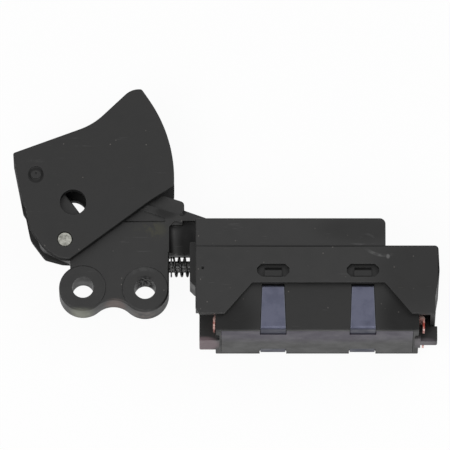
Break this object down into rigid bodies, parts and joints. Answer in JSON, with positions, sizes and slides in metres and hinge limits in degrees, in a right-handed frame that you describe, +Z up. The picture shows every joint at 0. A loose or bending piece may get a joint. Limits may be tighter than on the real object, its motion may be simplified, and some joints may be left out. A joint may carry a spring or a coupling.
{
  "type": "power tool trigger switch",
  "caption": "Trigger switch of a hand-held power tool: a paddle trigger on a moulded arm with fixing eyes, joined to a box with a clipped-in switch unit.",
  "frame": {"origin": "middle of the fixing eye under the trigger, half way through its bore", "axes": "the part lies on its back: +X from the trigger to the far end of the switch box, +Y across towards the finger surface, +Z up out of the face and along the eye bores"},
  "size_m": [0.1105, 0.0675, 0.0256],
  "materials": {
    "holder_plastic": "fine-grained black moulding, lightly scuffed",
    "trigger_plastic": "fine-grained black moulding",
    "link_plastic": "black moulding",
    "carriage_plastic": "black moulding",
    "case_plastic": "smooth black moulding",
    "base_plastic": "smooth black moulding",
    "pin_plastic": "natural moulding",
    "pin_steel": "dull cut steel",
    "clip_steel": "blued spring steel",
    "spring_wire": "oily spring wire",
    "copper": "bright copper strip",
    "contact_silver": "contact metal"
  },
  "bodies": {
    "holder_body": {"holder": "holder_plastic", "switch_case": "case_plastic", "switch_base": "base_plastic", "return_spring": "spring_wire", "clip_front_left": "clip_steel", "clip_front_right": "clip_steel", "input_terminal_front": "copper", "output_terminal_front": "copper", "fixed_contact_front": "contact_silver", "clip_rear_left": "clip_steel", "clip_rear_right": "clip_steel", "input_terminal_rear": "copper", "output_terminal_rear": "copper", "fixed_contact_rear": "contact_silver"},
    "trigger_body": {"trigger": "trigger_plastic", "trigger_pin": "pin_steel"},
    "slide_body": {"trigger_link": "link_plastic", "push_rod": "spring_wire", "spring_washer": "spring_wire", "slide_carriage": "carriage_plastic", "contact_pin_front": "pin_plastic", "pin_spring_front": "spring_wire", "contact_pin_rear": "pin_plastic", "pin_spring_rear": "spring_wire"},
    "rocker_front_body": {"rocker_front": "copper", "rocker_contact_front": "contact_silver"},
    "rocker_rear_body": {"rocker_rear": "copper", "rocker_contact_rear": "contact_silver"}
  },
  "joints": [
    {"name": "trigger_pivot", "type": "hinge", "parent": "holder_body", "child": "trigger_body", "pos_m": [-0.0047, 0.0124, 0], "axis": [0, 0, -1], "range_deg": [0, 10], "stiffness_Nm_per_rad": 0.35, "springref_deg": -14.32},
    {"name": "link_slide", "type": "slide", "parent": "holder_body", "child": "slide_body", "axis": [1, 0, 0], "range_m": [0, 0.0029], "deforming": ["return_spring"]},
    {"name": "rocker_front_tilt", "type": "hinge", "parent": "holder_body", "child": "rocker_front_body", "pos_m": [0.06, -0.0053, 0.0069], "axis": [0, 0, -1], "range_deg": [0, 10]},
    {"name": "rocker_rear_tilt", "type": "hinge", "parent": "holder_body", "child": "rocker_rear_body", "pos_m": [0.06, -0.0053, -0.0069], "axis": [0, 0, -1], "range_deg": [0, 10]}
  ],
  "couplings": [
    {"joint": "link_slide", "follows": "trigger_pivot", "m_per_rad": 0.016615},
    {"joint": "rocker_front_tilt", "follows": "trigger_pivot", "ratio": 1},
    {"joint": "rocker_rear_tilt", "follows": "trigger_pivot", "ratio": 1}
  ]
}
